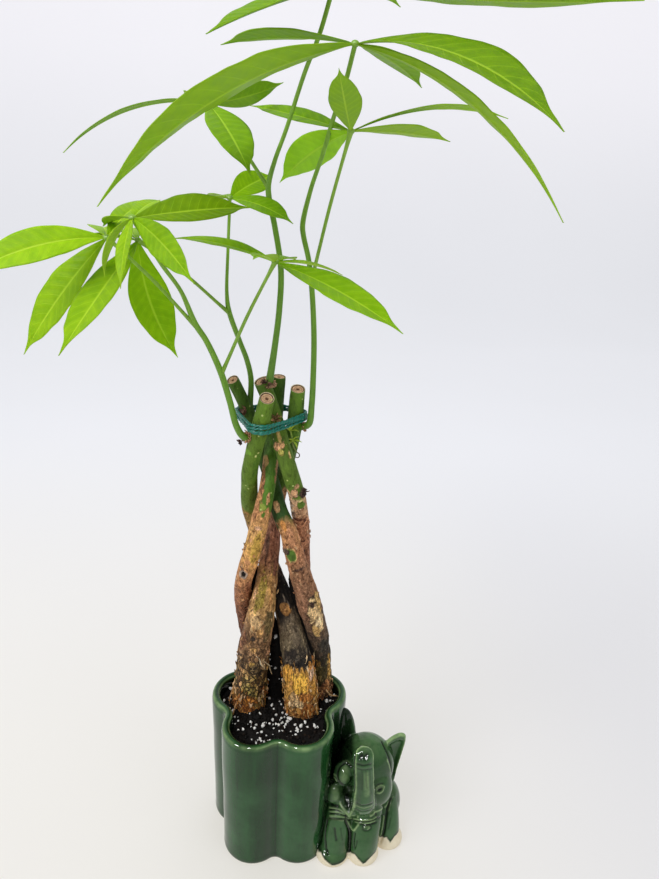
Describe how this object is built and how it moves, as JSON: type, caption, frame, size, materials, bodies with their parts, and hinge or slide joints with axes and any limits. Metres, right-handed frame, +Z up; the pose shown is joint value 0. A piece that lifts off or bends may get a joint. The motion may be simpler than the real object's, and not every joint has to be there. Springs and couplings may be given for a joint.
{
  "type": "potted money tree",
  "caption": "Money tree with braided trunks, sawn tops and leafy shoots held by a tie, in a lobed glazed ceramic planter with a seated elephant at its side.",
  "frame": {"origin": "middle of the pot's flat base, on the surface it stands on", "axes": "+Z up; -Y is the front that faces the viewer; +X is the side where the elephant sits"},
  "size_m": [0.2826, 0.1837, 0.5685],
  "materials": {
    "glazed_ceramic": "gloss",
    "soil": "matte",
    "bark": "matte",
    "foliage": "satin",
    "twine": "satin"
  },
  "bodies": {
    "root": {"planter": "glazed_ceramic", "soil": "soil", "trunk_centre": "bark", "trunk_left": "bark", "trunk_front": "bark", "trunk_right": "bark", "trunk_back": "bark", "left_shoot": "foliage", "back_left_shoot": "foliage", "back_shoot": "foliage", "right_shoot": "foliage", "tie": "twine"}
  },
  "joints": []
}
